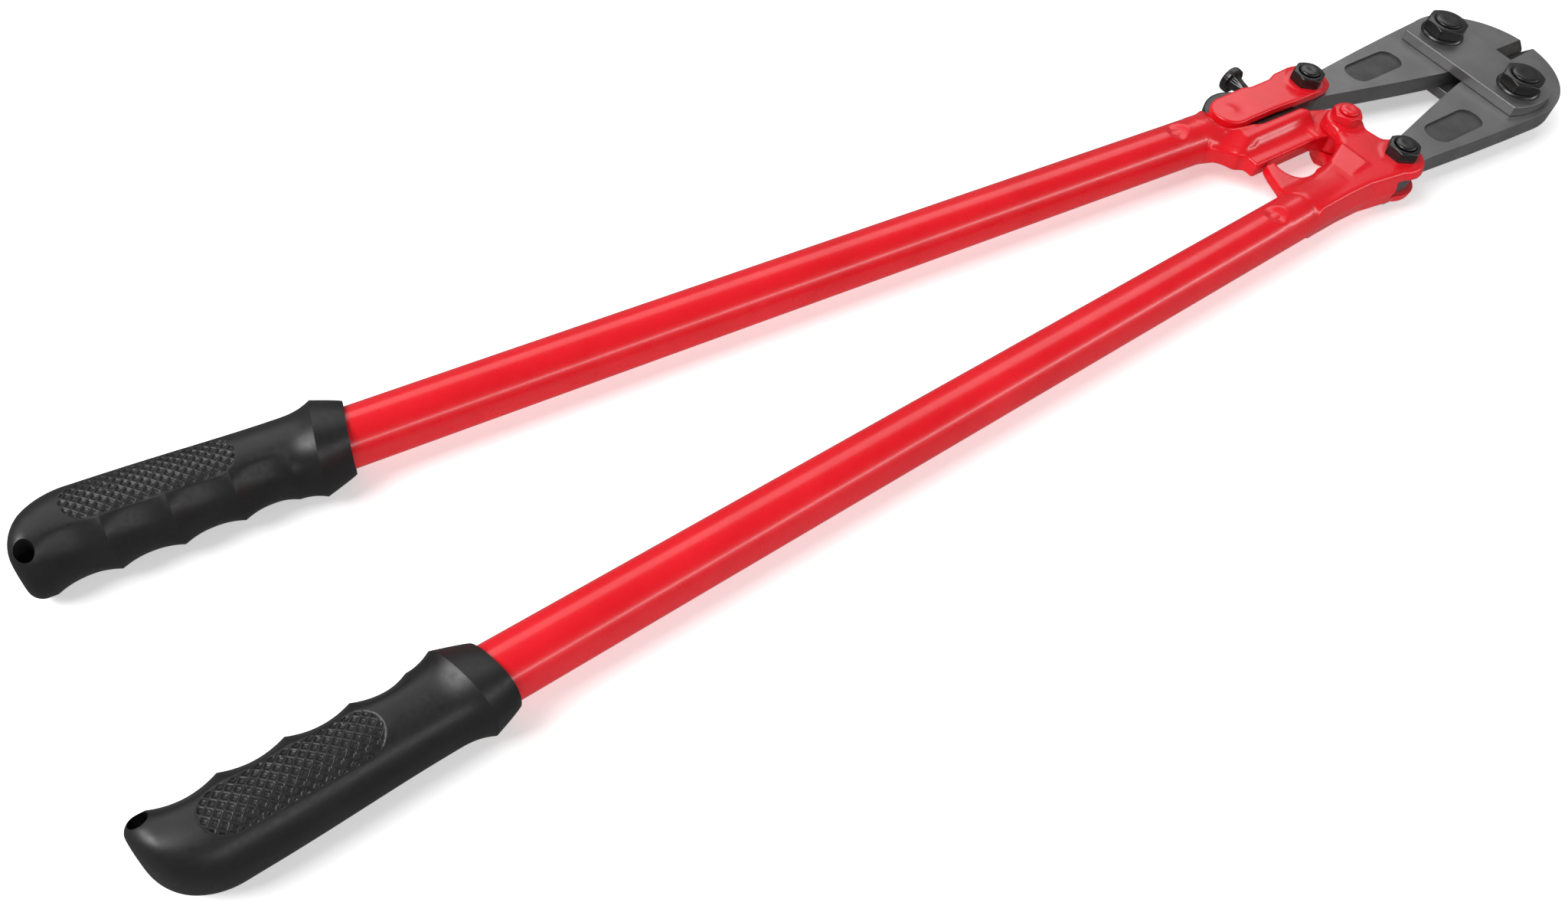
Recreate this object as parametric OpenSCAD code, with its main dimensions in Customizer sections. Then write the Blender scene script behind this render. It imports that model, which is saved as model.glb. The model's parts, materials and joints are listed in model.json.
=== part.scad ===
// Long-handled bolt cutters with compound leverage, lying flat.
// +X points from the grips to the jaw noses, +Y to the left handle, +Z up.
// The origin is the centre of the footprint, on the surface that the tool lies on.
// Shapes are drawn in a working frame: X = Y = 0 midway between the two jaw bolts,
// Z = 0 at mid-thickness.
// Right-hand pieces that match the left ones are mirrored in the XZ plane.

/* [Linkage] */
// Half the distance between the two jaw bolts
jaw_pivot_y = 30.5; // [30:0.1:31]
// Distance of the tail bolts behind the jaw bolts
tail_x = 125; // [124:0.5:126]
// Half the distance between the two tail bolts
tail_y = 38; // [37.5:0.1:38.5]
// Distance of the centre bolt behind the jaw bolts
centre_x = 132; // [131.5:0.5:132.5]

/* [Jaws] */
// Thickness of a jaw
jaw_t = 11.8; // [11:0.1:11.8]
// Radius of the round formed by the two noses together
nose_r = 52.5; // [51:0.5:53]
// Width of a blade's bevel, from the cutting edge
bevel_w = 7.4; // [5:0.2:9]
// Half the height of the flat left on the cutting edge
edge_half = 0.6; // [0.4:0.1:1]
// Depth of the pocket in a jaw's face
pocket_depth = 1.3; // [0.5:0.1:2]

/* [Straps] */
// Thickness of a strap
strap_t = 6.5; // [6:0.1:6.5]
// Distance from the jaw bolts back to the strap's straight rear edge
strap_back = 20.5; // [18:0.5:22]
// Distance from the jaw bolts to the strap's straight front edge
strap_front = 20; // [18:0.5:22]
// Radius of the strap's round ends about the tool's centre
strap_r = 48.2; // [47:0.2:49]

/* [Handles] */
// Outer diameter of a handle tube
tube_d = 28; // [27:0.5:28]
// Wall thickness of a handle tube
tube_wall = 1.5; // [1.2:0.1:2]
// Angle of a closed handle to the tool's axis
splay = 3.5; // [3.3:0.1:3.7]
// Half the thickness of the forged heads
head_half = 12; // [11.6:0.1:12.2]

/* [Adjuster] */
// Distance of the link's rear pin behind the jaw bolts
pin_x = 189; // [188:0.5:190]
// Distance of the link's rear pin from the tool's axis
pin_y = 40; // [39.5:0.5:40.5]
// Radius of the adjuster's round end
cam_r = 21.5; // [20:0.5:22]
// Diameter of the lock screw's thumb head
thumb_d = 16; // [14:0.5:18]

/* [Grips] */
// Length of a grip
grip_length = 140; // [138:1:142]
// Outer diameter of a grip's collar
collar_d = 41; // [40:0.5:41]
// Depth of a finger groove
groove_depth = 1.9; // [1:0.1:2.4]
// Distance from one finger groove to the next
groove_pitch = 25.8; // [25:0.1:26.5]
// Radius of the hole for hanging the tool
hang_r = 3.9; // [3.5:0.1:4]

/* [Hidden] */
$fn = 72;

eps = 0.01;               // lets a cutter run past the face that it cuts
run_gap = 0.05;           // radial clearance of a pin in its bore
slot_half = 6;            // half the inner width of the forks
tongue_half = 5.85;       // half the thickness of a tongue in a fork
rest_z = 20.5;            // height of the mid-plane above the surface
handle_ref = [-131.25, 33];  // point that a closed left handle's axis passes through
jaw_half = jaw_t / 2;
strap_top_z = slot_half + strap_t;
tube_r = tube_d / 2;
bore_r = tube_r - tube_wall;
jaw_bolt_r = 8;
tail_bolt_r = 6;
centre_bolt_r = 4.5;
open_pivot_r = 9.2;       // hole in the left tongue, where the closed linkage is opened
head_start = 80;          // distances along a handle from its reference point
spigot_end = 125;
tube_end = 723;
grip_start = 596;
grip_end = grip_start + grip_length;
red = [0.82, 0.07, 0.10];
steel = [0.45, 0.45, 0.46];
black = [0.10, 0.10, 0.10];
rubber = [0.16, 0.16, 0.16];

// Half the tool's length ahead of and behind the jaw bolts gives the place of the footprint's centre
nose_x = nose_r + 4.5;
handle_tail_x = -handle_ref[0] + grip_end * cos(splay);
tool_x = (handle_tail_x - nose_x) / 2;

module place() {
    translate([tool_x, 0, rest_z]) children();
}

module right_side() {
    mirror([0, 1, 0]) children();
}

// +X runs down the left handle towards its grip, +Y points to the tool's axis
module along_handle() {
    translate([handle_ref[0], handle_ref[1], 0]) rotate([0, 0, 180 - splay]) children();
}

module plate(half) {
    translate([0, 0, -half]) linear_extrude(2 * half) children();
}

module layer(low, high) {
    translate([0, 0, low]) linear_extrude(high - low) children();
}

module at(x, y) {
    translate([x, y]) children();
}

// ---------------------------------------------------------------- fasteners

// Hexagonal prism with both rims chamfered
module hex_prism(across, low, high, chamfer = 0.8) {
    rim = across / 2 / cos(30);
    intersection() {
        layer(low, high) circle(r = rim, $fn = 6);
        rotate_extrude() polygon([
            [0, low], [rim - 2 * chamfer, low], [rim, low + chamfer],
            [rim, high - chamfer], [rim - 2 * chamfer, high], [0, high]
        ]);
    }
}

module nut(across, r, low, high) {
    difference() {
        hex_prism(across, low, high);
        layer(low - eps, high + eps) circle(r = r + run_gap);
    }
}

// Shank with a hexagonal head below and a domed end above
module bolt(r, across, head_low, head_high, shank_high, dome) {
    ball = (r * r + dome * dome) / (2 * dome);
    hex_prism(across, head_low, head_high);
    layer(head_high - eps, shank_high) circle(r = r);
    intersection() {
        layer(shank_high - eps, shank_high + dome + eps) circle(r = r);
        translate([0, 0, shank_high + dome - ball]) sphere(r = ball, $fn = 96);
    }
}

washer_t = 2;
jaw_nut_h = 7;
tail_nut_h = 7;
centre_boss = 0.6;

module jaw_bolts() {
    color(black) place() for (side = [-1, 1]) at(0, side * jaw_pivot_y)
        bolt(jaw_bolt_r, 24, -rest_z, -strap_top_z, strap_top_z + washer_t + jaw_nut_h, 1.8);
}

module jaw_nuts() {
    nut_low = strap_top_z + washer_t;
    color(black) place() for (side = [-1, 1]) at(0, side * jaw_pivot_y)
        nut(24, jaw_bolt_r, nut_low, nut_low + jaw_nut_h);
}

module jaw_washers() {
    color(black) place() for (side = [-1, 1]) at(0, side * jaw_pivot_y) difference() {
        layer(strap_top_z, strap_top_z + washer_t) circle(r = 13.8);
        layer(strap_top_z - eps, strap_top_z + washer_t + eps) circle(r = jaw_bolt_r + run_gap);
    }
}

module tail_bolt() {
    at(-tail_x, tail_y) bolt(tail_bolt_r, 18, -head_half - 6.7, -head_half, head_half + tail_nut_h, 1.9);
}

module tail_nut() {
    at(-tail_x, tail_y) nut(18, tail_bolt_r, head_half, head_half + tail_nut_h);
}

module tail_bolt_left() { color(black) place() tail_bolt(); }
module tail_nut_left() { color(black) place() tail_nut(); }
module tail_bolt_right() { color(black) place() right_side() tail_bolt(); }
module tail_nut_right() { color(black) place() right_side() tail_nut(); }

// Shouldered pin with a hexagonal head below and a riveted disc above its nut
module centre_bolt() {
    boss_z = head_half + centre_boss;
    nut_top = boss_z + 6;
    color(red) place() at(-centre_x, 0) {
        hex_prism(16, -boss_z - 5.6, -boss_z);
        layer(-boss_z - eps, nut_top + eps) circle(r = centre_bolt_r);
        translate([0, 0, nut_top]) cylinder(r1 = 6.2, r2 = 5.6, h = 2.2);
    }
}

module centre_nut() {
    boss_z = head_half + centre_boss;
    color(red) place() at(-centre_x, 0) nut(16, centre_bolt_r, boss_z, boss_z + 6);
}

// ---------------------------------------------------------------- straps and jaws

module strap_outline() {
    difference() {
        intersection() {
            circle(r = strap_r, $fn = 128);
            at(-strap_back, -strap_r) square([strap_back + strap_front, 2 * strap_r]);
        }
        for (side = [-1, 1]) at(0, side * jaw_pivot_y) circle(r = jaw_bolt_r + run_gap);
    }
}

module strap_top() { color(steel) place() layer(slot_half, strap_top_z) strap_outline(); }
module strap_bottom() { color(steel) place() layer(-strap_top_z, -slot_half) strap_outline(); }

edge_y = 0.1;             // half the gap between the closed cutting edges

module jaw_outline() {
    difference() {
        union() {
            // nose
            intersection() {
                at(nose_x - nose_r, 0) circle(r = nose_r, $fn = 128);
                at(4, edge_y) square(nose_r + 2);
            }
            // shank, tapering back to the tail bolt
            polygon([
                [4.5, 52.5], [0, 52.3], [-25, 51], [-60, 48.7], [-100, 45.4], [-120, 46],
                [-118, 26.5], [-60, 13.3], [-24, 5.8], [-12, 4.4], [4, edge_y], [10, 20]
            ]);
            at(-tail_x, tail_y) circle(r = 12.5);
        }
        at(0, jaw_pivot_y) circle(r = jaw_bolt_r + run_gap);
        at(-tail_x, tail_y) circle(r = tail_bolt_r + run_gap);
        // nose round where the two jaws meet
        difference() {
            at(nose_x - 4, edge_y - eps) square(4 + eps);
            at(nose_x - 4.6, edge_y + 4) circle(r = 4);
        }
    }
}

// Rounded recess in the jaw's face
module pocket_outline() {
    corner = 7.9;
    rear = -85;
    front = -39.7;
    low = 23.5;
    high = 41.3;
    at(rear + corner, low) square([front - rear - 2 * corner, high - low]);
    at(rear, low + corner) square([front - rear, high - low - 2 * corner]);
    for (x = [rear + corner, front - corner], y = [low + corner, high - corner])
        at(x, y) circle(r = corner, $fn = 48);
}

// Sloping face of the blade: the cutting edge is on the mid-plane
module bevel() {
    translate([8, 0, 0]) rotate([90, 0, 90]) linear_extrude(nose_r)
        polygon([
            [-1, edge_half], [edge_y, edge_half], [edge_y + bevel_w, jaw_half],
            [edge_y + bevel_w, jaw_half + 1], [-1, jaw_half + 1]
        ]);
}

module jaw() {
    difference() {
        plate(jaw_half) jaw_outline();
        for (face = [0, 1]) mirror([0, 0, face]) {
            bevel();
            layer(jaw_half - pocket_depth, jaw_half + 1) pocket_outline();
        }
    }
}

module jaw_left() { color(steel) place() jaw(); }
module jaw_right() { color(steel) place() right_side() jaw(); }

// ---------------------------------------------------------------- tubes and grips

module handle_tube() {
    along_handle() rotate([0, 90, 0]) difference() {
        translate([0, 0, head_start]) cylinder(r = tube_r, h = tube_end - head_start);
        translate([0, 0, head_start - eps]) cylinder(r = bore_r, h = tube_end - head_start + 2 * eps);
    }
}

module tube_left() { color(red) place() handle_tube(); }
module tube_right() { color(red) place() right_side() handle_tube(); }

// Plan of the grip: finger grooves on the inner side, a large round on the outer corner of the tail
module grip_plan() {
    groove_r = (pow(groove_pitch / 2, 2) + pow(groove_depth, 2)) / (2 * groove_depth);
    crest = 19.6;
    tail_round = 21;
    difference() {
        at(grip_start - 10, -24) square([grip_length + 10, 48]);
        for (i = [0 : 3]) at(grip_end - 19.5 - i * groove_pitch, crest - groove_depth + groove_r)
            circle(r = groove_r, $fn = 180);
        difference() {
            at(grip_end - tail_round, -tail_round) square([tail_round + 1, tail_round]);
            at(grip_end - tail_round, 0) circle(r = tail_round - 1, $fn = 96);
            at(grip_end - tail_round, -1) square([tail_round, 2]);
        }
    }
}

module grip() {
    collar_r = collar_d / 2;
    tail_edge = 7;
    difference() {
        intersection() {
            along_handle() union() {
                // body
                rotate([0, 90, 0]) rotate_extrude($fn = 96) {
                    polygon([
                        [0, grip_start + 12], [17.4, grip_start + 12], [17.5, grip_start + 28],
                        [19.6, grip_end - 30], [19.9, grip_end - tail_edge],
                        [19.9 - tail_edge, grip_end - tail_edge], [19.9 - tail_edge, grip_end],
                        [0, grip_end]
                    ]);
                    at(19.9 - tail_edge, grip_end - tail_edge) circle(r = tail_edge, $fn = 48);
                }
                // slanting collar that keeps the hand off the tube
                translate([grip_start, 0, 0]) rotate([0, 90, -12]) rotate_extrude($fn = 96)
                    polygon([[0, 0], [15.8, 0], [collar_r, 14], [17.4, 26], [0, 26]]);
            }
            along_handle() plate(collar_r) grip_plan();
        }
        along_handle() rotate([0, 90, 0])
            translate([0, 0, grip_start - 15])
                cylinder(r = tube_r + run_gap, h = tube_end + 0.5 - grip_start + 15);
        along_handle() layer(-collar_r, collar_r) at(grip_end - 6.3, 12.3) circle(r = hang_r);
    }
}

module grip_left() { color(rubber) place() grip(); }
module grip_right() { color(rubber) place() right_side() grip(); }

// ---------------------------------------------------------------- left head and adjuster

module spigot() {
    along_handle() rotate([0, 90, 0])
        translate([0, 0, head_start - 1]) cylinder(r = bore_r - run_gap, h = spigot_end - head_start + 1);
}

// Slice of a handle where its tube starts
module neck_ring() {
    along_handle() rotate([0, 90, 0])
        translate([0, 0, head_start - 2]) cylinder(r = tube_r, h = 2, $fn = 32);
}

module left_body_outline() {
    difference() {
        polygon([
            [-210, 51], [-204, 49], [-196, 46], [-178, 44], [-178, 22.2], [-147, 21.8],
            [-143.5, 19], [-143.5, 15.2], [-198, 17], [-206, 16], [-210, 24]
        ]);
        at(-pin_x, pin_y) circle(r = 14.6);
        at(-pin_x, 22.4) square([20, 42]);
    }
}

module head_left() {
    web_half = 5;
    color(red) place() difference() {
        union() {
            spigot();
            hull() {
                neck_ring();
                translate([-206, 17, -head_half]) cube([2, 30, 2 * head_half]);
            }
            plate(head_half) left_body_outline();
            // outer ridge, sloping down to the web
            translate([-200, 0, 0]) rotate([90, 0, 90]) linear_extrude(56.5) polygon([
                [21.8, head_half], [16, head_half], [9.5, web_half],
                [9.5, -web_half], [16, -head_half], [21.8, -head_half]
            ]);
            // web with the stop at its rear inner corner
            plate(web_half) polygon([[-203.5, 0.3], [-146, 0.3], [-144, 12], [-203.5, 20]]);
            // ledge that carries the link's pin
            layer(-tongue_half, -0.2) {
                at(-pin_x, pin_y) circle(r = 12.2);
                polygon([[-201, 30], [-201, 36], [-189, 52], [-179, 48], [-179, 21], [-198, 21]]);
            }
            // tongue that runs into the right head's fork
            plate(tongue_half) {
                at(-centre_x, 0) circle(r = 11.8);
                polygon([
                    [-152, 0.3], [-152, 20], [-136, 21.3], [-122, 15.5], [-121, 4],
                    [-134, -11], [-144, -2]
                ]);
            }
        }
        // room for the ears of the right head
        for (face = [0, 1]) mirror([0, 0, face])
            layer(tongue_half, head_half + 1) at(-centre_x, 0) circle(r = 16.5);
        at(-centre_x, 0) plate(head_half + 1) circle(r = open_pivot_r);
        at(-pin_x, pin_y) plate(head_half + 1) circle(r = 6 + run_gap);
    }
}

module link_outline() {
    difference() {
        union() {
            at(-pin_x, pin_y) circle(r = 12);
            // the tail end is cut straight on its inner side
            difference() {
                at(-tail_x + 1.5, tail_y + 0.3) circle(r = 15.2);
                translate([-145, 20]) square([40, 6.4]);
            }
            polygon([
                [-189, 28], [-189, 52], [-166, 52.3], [-160, 50.4], [-149, 50.6],
                [-138, 53], [-124, 53.4], [-124, 26.4], [-143, 26.8]
            ]);
        }
        at(-pin_x, pin_y) circle(r = 6 + run_gap);
        at(-tail_x, tail_y) circle(r = tail_bolt_r + run_gap);
    }
}

link_low = slot_half;
link_high = head_half - 0.3;

module link_plate() {
    layer(link_low, link_high) link_outline();
    // raised seat for the nut or the bolt's head
    difference() {
        layer(link_high - eps, head_half) at(-tail_x, tail_y) circle(r = 11.8);
        layer(link_high - 1, head_half + eps) at(-tail_x, tail_y) circle(r = tail_bolt_r + run_gap);
    }
}

module link_plate_top() { color(red) place() link_plate(); }
module link_plate_bottom() { color(red) place() mirror([0, 0, 1]) link_plate(); }

module link_pin() {
    color(red) place() at(-pin_x, pin_y) plate(link_high + 0.3) circle(r = 6);
}

screw_x = -152;
screw_r = 3;
thumb_y = 67.5;

// Black cam plate between the link's plates, turning on the link's rear pin
module adjuster_cam() {
    color(black) place() difference() {
        union() {
            layer(0.1, tongue_half) intersection() {
                union() {
                    at(-180, 38.5) circle(r = cam_r, $fn = 96);
                    at(-180, 22.9) square([37, 27]);
                }
                difference() {
                    at(-202, 22.9) square([60, 40]);
                    // clear of the head's neck
                    at(-pin_x, pin_y) difference() {
                        at(-30, -30) square([30, 30]);
                        circle(r = 14);
                    }
                }
            }
            // boss that the lock screw runs through
            layer(-4.6, 4.6) at(screw_x - 6.5, 24.5) square([13, 27]);
        }
        translate([screw_x, 20, 0]) rotate([-90, 0, 0]) cylinder(r = screw_r + run_gap, h = 40);
        at(-pin_x, pin_y) layer(-1, head_half) circle(r = 6 + run_gap);
    }
}

// Thumb screw that bears on the left head's ridge
module lock_screw() {
    color(black) place() translate([screw_x, 0, 0]) rotate([-90, 0, 0]) {
        translate([0, 0, 22.6]) cylinder(r = screw_r, h = thumb_y - 22.6 + eps);
        translate([0, 0, thumb_y - 7]) cylinder(r1 = 3.6, r2 = 6.4, h = 7 + eps);
        rotate_extrude() polygon([
            [0, thumb_y], [thumb_d / 2 - 1, thumb_y], [thumb_d / 2, thumb_y + 1],
            [thumb_d / 2, thumb_y + 3.4], [thumb_d / 2 - 1, thumb_y + 4.5], [0, thumb_y + 4.5]
        ]);
    }
}

// ---------------------------------------------------------------- right head

// Both ears of the fork and the body behind them, drawn on the left side and mirrored
module right_body_outline() {
    at(-tail_x - 0.5, tail_y + 0.3) circle(r = 15.5);
    at(-centre_x, 0) circle(r = 10.8);
    polygon([
        [-210, 51], [-200, 49], [-180, 47.6], [-160, 47.2], [-146, 49.4], [-136, 51],
        [-122, 34], [-120.5, 26.5], [-124, 21], [-125.4, 13], [-124, 8], [-122, 4],
        [-132, -6], [-141, -4.5], [-145, 6], [-149, 11.5], [-156, 16], [-166, 20],
        [-177, 22.6], [-190, 25], [-210, 26]
    ]);
}

module head_right() {
    lug_half = 3.5;
    color(red) place() right_side() difference() {
        union() {
            spigot();
            hull() {
                neck_ring();
                translate([-206, 24, -head_half]) cube([2, 24, 2 * head_half]);
            }
            plate(head_half) right_body_outline();
            // stop that meets the left head's web
            plate(lug_half) difference() {
                polygon([
                    [-197, 0.4], [-188, 0.4], [-170, 14], [-165, 24], [-207, 28],
                    [-204, 18], [-200.5, 8]
                ]);
                at(-178, 7.5) circle(r = 13);
            }
            for (face = [0, 1]) mirror([0, 0, face]) {
                // seats of the two bolts
                layer(head_half - eps, head_half + centre_boss) at(-centre_x, 0) circle(r = 10.5);
                // raised pad between them
                layer(head_half - eps, head_half + 1)
                    polygon([[-167, 21], [-151, 14], [-150, 35], [-166, 37]]);
            }
        }
        // fork
        plate(slot_half) {
            at(-tail_x, tail_y) circle(r = 15);
            at(-centre_x, 0) circle(r = 17);
            polygon([
                [-170, -20], [-110, -20], [-110, 60], [-134, 60], [-140, 38], [-141, 30],
                [-150, 21], [-170, 18]
            ]);
        }
        at(-tail_x, tail_y) plate(head_half + 2) circle(r = tail_bolt_r + run_gap);
        at(-centre_x, 0) plate(head_half + 2) circle(r = centre_bolt_r + run_gap);
    }
}

strap_top();
strap_bottom();
jaw_bolts();
jaw_nuts();
jaw_washers();
jaw_left();
jaw_right();
head_left();
tube_left();
grip_left();
link_plate_top();
link_plate_bottom();
link_pin();
tail_bolt_left();
tail_nut_left();
adjuster_cam();
lock_screw();
head_right();
tube_right();
grip_right();
tail_bolt_right();
tail_nut_right();
centre_bolt();
centre_nut();
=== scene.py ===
"""Long-handled bolt cutters: the looks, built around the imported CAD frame.

Shapes are drawn in millimetres in the part's working frame: X = Y = 0 midway between the
two jaw bolts and Z = 0 at mid-thickness. to_frame() takes them to the row frame in metres.
The left handle is the one at +Y. Right-hand pieces are mirrored left-hand ones.
"""
import json
import math

import bpy
import numpy as np
from mathutils import Matrix


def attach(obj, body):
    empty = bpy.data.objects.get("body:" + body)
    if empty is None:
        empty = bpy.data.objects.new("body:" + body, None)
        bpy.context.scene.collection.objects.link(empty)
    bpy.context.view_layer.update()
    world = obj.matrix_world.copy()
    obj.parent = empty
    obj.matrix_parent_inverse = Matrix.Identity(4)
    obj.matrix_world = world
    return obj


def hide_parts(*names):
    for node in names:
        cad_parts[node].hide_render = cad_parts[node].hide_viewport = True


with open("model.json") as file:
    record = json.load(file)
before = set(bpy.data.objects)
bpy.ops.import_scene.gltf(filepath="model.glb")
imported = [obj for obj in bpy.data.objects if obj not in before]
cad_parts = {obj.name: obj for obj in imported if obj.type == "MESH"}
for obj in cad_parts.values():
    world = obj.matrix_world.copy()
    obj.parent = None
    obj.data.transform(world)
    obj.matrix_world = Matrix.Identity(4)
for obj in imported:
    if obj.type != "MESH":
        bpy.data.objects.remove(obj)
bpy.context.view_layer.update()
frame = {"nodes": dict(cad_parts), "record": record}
scene = bpy.context.scene

MM = 0.001    # metres

# ------------------------------------------------------------------ the part's own sizes, mm

ORIGIN = np.array([404.4386, 0.0, 20.5])    # the working frame's zero in the row frame
JAW_BOLT_Y = 30.5
TAIL_BOLT = (-125.0, 38.0)
CENTRE_BOLT = (-132.0, 0.0)
LINK_PIN = (-189.0, 40.0)
SCREW_X = -152.0                            # the thumb screw lies along Y

# bores: the radius of the pin, with its clearance
JAW_BORE_R = 8.05
TAIL_BORE_R = 6.05
CENTRE_BORE_R = 4.55
LINK_BORE_R = 6.05
SCREW_BORE_R = 3.05
TONGUE_HOLE_R = 9.2                         # wide, as the linkage is opened at this pivot

# the left handle: its axis starts at HANDLE_REF and runs outwards at the splay angle
SPLAY = math.radians(3.5)
HANDLE_REF = np.array([-131.25, 33.0, 0.0])
ALONG = np.array([-math.cos(SPLAY), math.sin(SPLAY), 0.0])
INWARD = np.array([-math.sin(SPLAY), -math.cos(SPLAY), 0.0])
UP = np.array([0.0, 0.0, 1.0])
TUBE_R = 14.0
BORE_R = 12.5
TUBE_START = 80.0
TUBE_END = 723.0
SPIGOT_END = 125.0
GRIP_START = 596.0
GRIP_LENGTH = 140.0

# half-thicknesses, thicknesses and heights
HEAD_HALF = 12.0
SLOT_HALF = 6.0
TONGUE_HALF = 5.85
JAW_HALF = 5.9
POCKET_DEPTH = 1.6
STRAP_T = 6.5
STRAP_TOP = SLOT_HALF + STRAP_T
WASHER_T = 2.0
NUT_H = 7.0

# hexagons, across their flats
JAW_NUT_FLATS = 24.0
TAIL_NUT_FLATS = 17.6
CENTRE_NUT_FLATS = 16.0


# ------------------------------------------------------------------ materials


class Nodes:
    """Short names for building one material's node tree."""

    def __init__(self, name, **shader):
        self.material = bpy.data.materials.new(name)
        self.material.use_nodes = True
        self.tree = self.material.node_tree
        self.shader = self.tree.nodes["Principled BSDF"]
        for socket, value in shader.items():
            self.shader.inputs[socket.replace("_", " ")].default_value = value
        self.coords = self.tree.nodes.new("ShaderNodeTexCoord").outputs["Object"]

    def link(self, a, b):
        self.tree.links.new(a, b)

    def stretched(self, scale):
        mapping = self.tree.nodes.new("ShaderNodeMapping")
        mapping.inputs["Scale"].default_value = scale
        self.link(self.coords, mapping.inputs["Vector"])
        return mapping.outputs["Vector"]

    def noise(self, scale, detail=2.0, vector=None):
        node = self.tree.nodes.new("ShaderNodeTexNoise")
        node.inputs["Scale"].default_value = scale
        node.inputs["Detail"].default_value = detail
        self.link(vector or self.coords, node.inputs["Vector"])
        return node.outputs["Fac"]

    def spread(self, value, low, high, start=0.3, stop=0.7):
        node = self.tree.nodes.new("ShaderNodeMapRange")
        node.inputs["From Min"].default_value = start
        node.inputs["From Max"].default_value = stop
        node.inputs["To Min"].default_value = low
        node.inputs["To Max"].default_value = high
        self.link(value, node.inputs["Value"])
        return node.outputs["Result"]

    def tint(self, value, dark, light):
        node = self.tree.nodes.new("ShaderNodeMix")
        node.data_type = "RGBA"
        node.inputs["A"].default_value = (*dark, 1)
        node.inputs["B"].default_value = (*light, 1)
        self.link(value, node.inputs["Factor"])
        self.link(node.outputs["Result"], self.shader.inputs["Base Color"])

    def bump(self, height, distance, strength=1.0, under=None):
        node = self.tree.nodes.new("ShaderNodeBump")
        node.inputs["Distance"].default_value = distance
        node.inputs["Strength"].default_value = strength
        self.link(height, node.inputs["Height"])
        if under:
            self.link(under, node.inputs["Normal"])
        self.link(node.outputs["Normal"], self.shader.inputs["Normal"])
        return node.outputs["Normal"]


def red_paint():
    """Smooth powder coat: a faint orange peel and slow changes of colour."""
    n = Nodes("red_paint", Metallic=0.0, IOR=1.42, Coat_Weight=0.4, Coat_Roughness=0.15)
    n.tint(n.spread(n.noise(28, 3), 0, 1), (0.66, 0.004, 0.011), (0.74, 0.007, 0.016))
    n.link(n.spread(n.noise(160, 3), 0.26, 0.34), n.shader.inputs["Roughness"])
    peel = n.bump(n.noise(900, 2), 0.00002, 0.5)
    n.bump(n.noise(120, 2), 0.00006, 0.4, peel)
    return n.material


def jaw_steel():
    """Dark satin steel with fine grinding lines along the jaws and faint mottling."""
    n = Nodes("jaw_steel", Metallic=0.85, IOR=1.5)
    n.tint(n.spread(n.noise(45, 4), 0, 1), (0.215, 0.215, 0.216), (0.265, 0.264, 0.264))
    lines = n.noise(900, 3, n.stretched((0.05, 1.0, 1.0)))
    n.link(n.spread(lines, 0.38, 0.48), n.shader.inputs["Roughness"])
    fine = n.bump(lines, 0.00001, 0.5)
    n.bump(n.noise(60, 3), 0.00006, 0.4, fine)
    return n.material


def painted_shade_steel(name, dark, light):
    """Darker, rougher steel for the jaws' pocket and bevel faces: its dark tone is painted shade.
    """
    n = Nodes(name, Metallic=0.5, IOR=1.5)
    n.tint(n.spread(n.noise(90, 4), 0, 1), dark, light)
    n.link(n.spread(n.noise(500, 3), 0.50, 0.66), n.shader.inputs["Roughness"])
    n.bump(n.noise(420, 3), 0.00008, 0.5)
    return n.material


def black_oxide():
    """Glossy black fasteners with slightly uneven gloss."""
    n = Nodes("black_oxide", Metallic=0.1, IOR=1.5, Coat_Weight=0.3, Coat_Roughness=0.12)
    n.tint(n.spread(n.noise(120, 3), 0, 1), (0.006, 0.006, 0.006), (0.014, 0.013, 0.013))
    n.link(n.spread(n.noise(300, 4), 0.28, 0.40), n.shader.inputs["Roughness"])
    n.bump(n.noise(220, 2), 0.00002, 0.4)
    return n.material


def grip_rubber():
    """Matt moulded rubber with a fine grain."""
    n = Nodes("grip_rubber", Metallic=0.0, IOR=1.45)
    n.tint(n.spread(n.noise(60, 3), 0, 1), (0.009, 0.009, 0.0092), (0.013, 0.013, 0.0133))
    n.link(n.spread(n.noise(400, 3), 0.36, 0.46), n.shader.inputs["Roughness"])
    n.bump(n.noise(2400, 2), 0.00003, 0.4)
    return n.material


# Painted shade: the pockets' darker steel stands in for the shade in the recesses.
JAW_POCKET_SHADE = painted_shade_steel("jaw_pocket_painted_shade", (0.070, 0.070, 0.071), (0.100, 0.100, 0.101))
# Painted shade: the blade bevels' near-black steel stands in for the shade on faces turned away
# from the light.
JAW_BEVEL_SHADE = painted_shade_steel("jaw_bevel_painted_shade", (0.022, 0.020, 0.019), (0.036, 0.033, 0.031))
MATERIALS = {
    "red_paint": red_paint(),
    "jaw_steel": jaw_steel(),
    "black_oxide": black_oxide(),
    "grip_rubber": grip_rubber(),
}
for subpart in frame["record"]["subparts"]:
    node = frame["nodes"][subpart["node"]]
    node.data.materials.clear()
    node.data.materials.append(MATERIALS[subpart["material_slot"]])


# ------------------------------------------------------------------ meshes


def to_frame(points):
    return (np.asarray(points, float) + ORIGIN) * MM


def mirrored(points, faces):
    """The same shape on the other side of the tool's axis."""
    flipped = np.asarray(points, float) * (1, -1, 1)
    return flipped, [tuple(reversed(f)) for f in faces]


def joined(*shapes):
    """Several (points, faces) shapes as one."""
    points = []
    faces = []
    count = 0
    for shape_points, shape_faces in shapes:
        points.append(np.asarray(shape_points, float))
        faces += [tuple(i + count for i in f) for f in shape_faces]
        count += len(shape_points)
    return np.concatenate(points), faces


def mesh_of(name, shape):
    points, faces = shape
    mesh = bpy.data.meshes.new(name)
    mesh.from_pydata(to_frame(points).tolist(), [], faces)
    return mesh


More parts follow.
